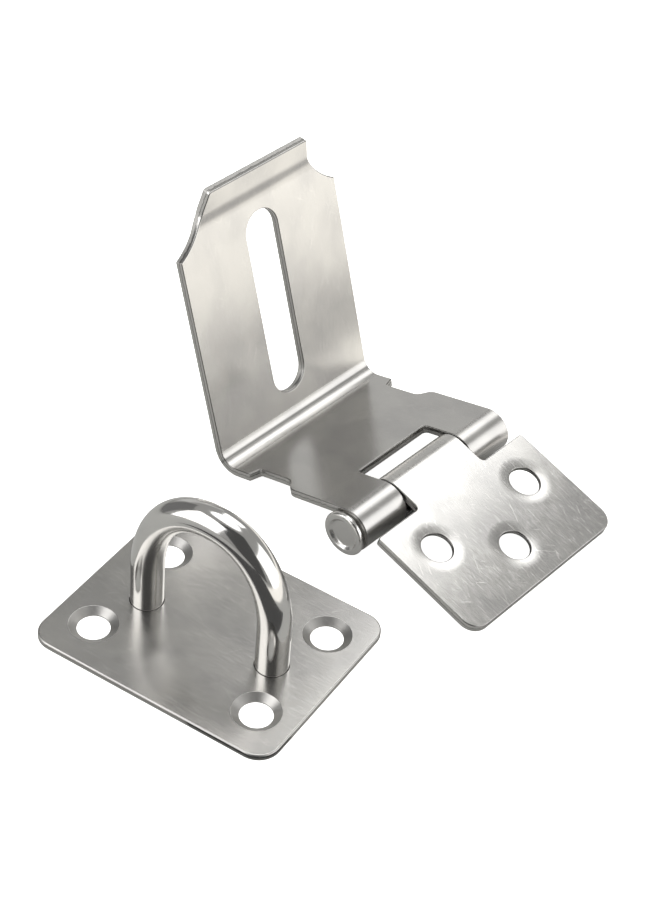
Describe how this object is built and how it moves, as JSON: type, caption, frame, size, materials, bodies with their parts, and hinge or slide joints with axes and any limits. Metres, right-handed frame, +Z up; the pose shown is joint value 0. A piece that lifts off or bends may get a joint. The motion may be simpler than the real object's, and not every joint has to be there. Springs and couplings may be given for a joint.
{
  "type": "hasp and staple",
  "caption": "Right-angle sheet-steel hasp, its slotted strap swinging on a headed pin hinge, with a countersunk staple plate that carries a round-bar loop.",
  "frame": {"origin": "middle of the set's footprint, on the surface that both pieces lie on", "axes": "+Z up; +Y along the hinge pin, away from its head and from the staple; +X from the slotted plate towards the fixed leaf's outer edge"},
  "size_m": [0.0788, 0.0992, 0.0535],
  "materials": {
    "leaf_steel": "fine-brushed stainless steel, handling scratches",
    "strap_steel": "satin stainless steel, brushed along the strap",
    "pin_steel": "polished stainless steel",
    "plate_steel": "satin stainless steel, half-polished",
    "loop_steel": "mirror-polished stainless steel bar"
  },
  "bodies": {
    "fixed_side": {"fixed_leaf": "leaf_steel"},
    "swinging_side": {"strap": "strap_steel", "hinge_pin": "pin_steel"},
    "staple": {"staple_plate": "plate_steel", "staple_loop": "loop_steel"}
  },
  "joints": [
    {"name": "strap_hinge", "type": "hinge", "parent": "fixed_side", "child": "swinging_side", "pos_m": [0.00852, 0.02742, 0.00579], "axis": [0, 1, 0], "range_deg": [-147.9, 122.1]},
    {"name": "staple_lift", "type": "slide", "parent": "fixed_side", "child": "staple", "axis": [0, 0, 1], "range_m": [0, 0.1]}
  ]
}
